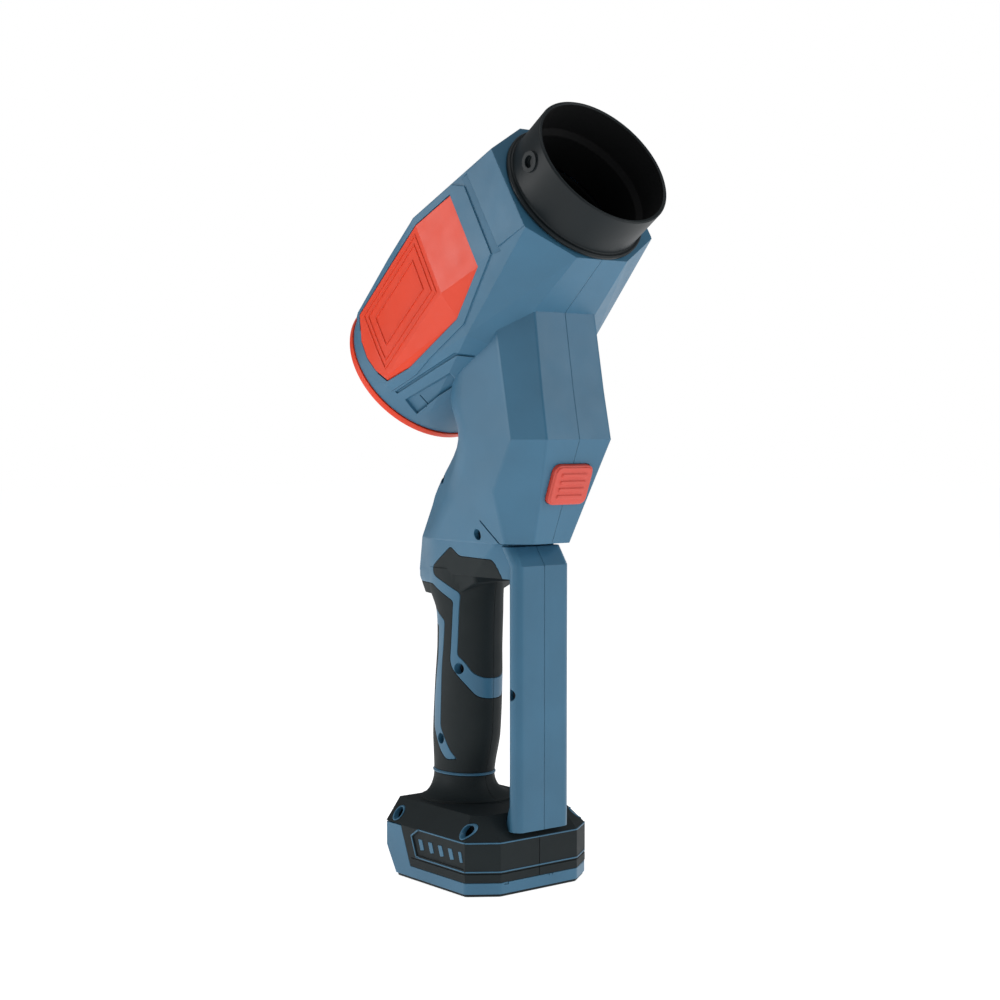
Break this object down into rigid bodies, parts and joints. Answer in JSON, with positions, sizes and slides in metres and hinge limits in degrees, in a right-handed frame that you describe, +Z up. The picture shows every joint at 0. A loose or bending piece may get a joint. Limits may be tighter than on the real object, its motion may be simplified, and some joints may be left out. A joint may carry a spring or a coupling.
{
  "type": "cordless turbo blower",
  "caption": "Hand-held cordless turbo blower: round outlet collar, octagonal fan head, closed D-shaped grip with front strut, battery foot it stands on.",
  "frame": {"origin": "middle of the foot's underside, where the tool stands", "axes": "+X forward towards the outlet, +Y the tool's left, +Z up"},
  "size_m": [0.2024, 0.099, 0.4146],
  "materials": {
    "blue_plastic": "moulded, semi-matt",
    "black_rubber": "overmoulded, matt",
    "orange_plastic": "moulded, satin",
    "button_plastic": "moulded, ribbed",
    "satin_black": "satin",
    "dark_plastic": "glass filled, matt",
    "steel": "zinc plated",
    "aluminium": "turned",
    "copper": "enamelled winding",
    "board": "solder mask",
    "cell_wrap": "shrink wrap",
    "brass": "plated contacts"
  },
  "bodies": {
    "body": {"housing_left": "blue_plastic", "housing_right": "blue_plastic", "finger_pad_left": "black_rubber", "finger_pad_right": "black_rubber", "grip_sleeve_left": "black_rubber", "grip_sleeve_right": "black_rubber", "foot_bumper_left": "black_rubber", "foot_bumper_right": "black_rubber", "side_panel_left": "orange_plastic", "side_panel_right": "orange_plastic", "outlet_collar": "satin_black", "inlet_ring": "orange_plastic", "inlet_grille": "dark_plastic", "fan_duct": "dark_plastic", "stator_vanes": "dark_plastic", "motor_can": "aluminium", "motor_coils": "copper", "bearing_rear": "steel", "bearing_front": "steel", "tail_cone": "dark_plastic", "button_spring": "steel", "switch_body": "dark_plastic", "control_board": "board", "terminal_block": "brass", "screw_neck_front": "steel", "screw_neck_rear": "steel", "screw_grip_upper": "steel", "screw_grip_lower": "steel", "screw_strut": "steel", "screw_foot_front": "steel", "screw_foot_rear": "steel", "screw_head_front": "steel", "screw_head_rear": "steel"},
    "rotor": {"rotor_shaft": "steel", "impeller": "aluminium", "impeller_nut": "steel"},
    "power_button": {"power_button": "button_plastic"},
    "pack": {"pack_tray": "blue_plastic", "pack_lid": "dark_plastic", "base_pad": "black_rubber", "cell_1": "cell_wrap", "cell_2": "cell_wrap", "cell_3": "cell_wrap"},
    "release_button": {"release_button": "dark_plastic"}
  },
  "joints": [
    {"name": "rotor_spin", "type": "hinge", "parent": "body", "child": "rotor", "pos_m": [0, 0, 0.326], "axis": [0.8406, 0, 0.5417], "continuous": true},
    {"name": "power_press", "type": "slide", "parent": "body", "child": "power_button", "axis": [-0.9314, 0, 0.3641], "range_m": [0, 0.003], "stiffness_N_per_m": 800, "springref_m": -0.0015},
    {"name": "pack_slide", "type": "slide", "parent": "body", "child": "pack", "axis": [-1, 0, 0], "range_m": [0, 0.095]},
    {"name": "release_press", "type": "slide", "parent": "pack", "child": "release_button", "axis": [1, 0, 0], "range_m": [0, 0.0025], "stiffness_N_per_m": 900, "springref_m": -0.001}
  ]
}
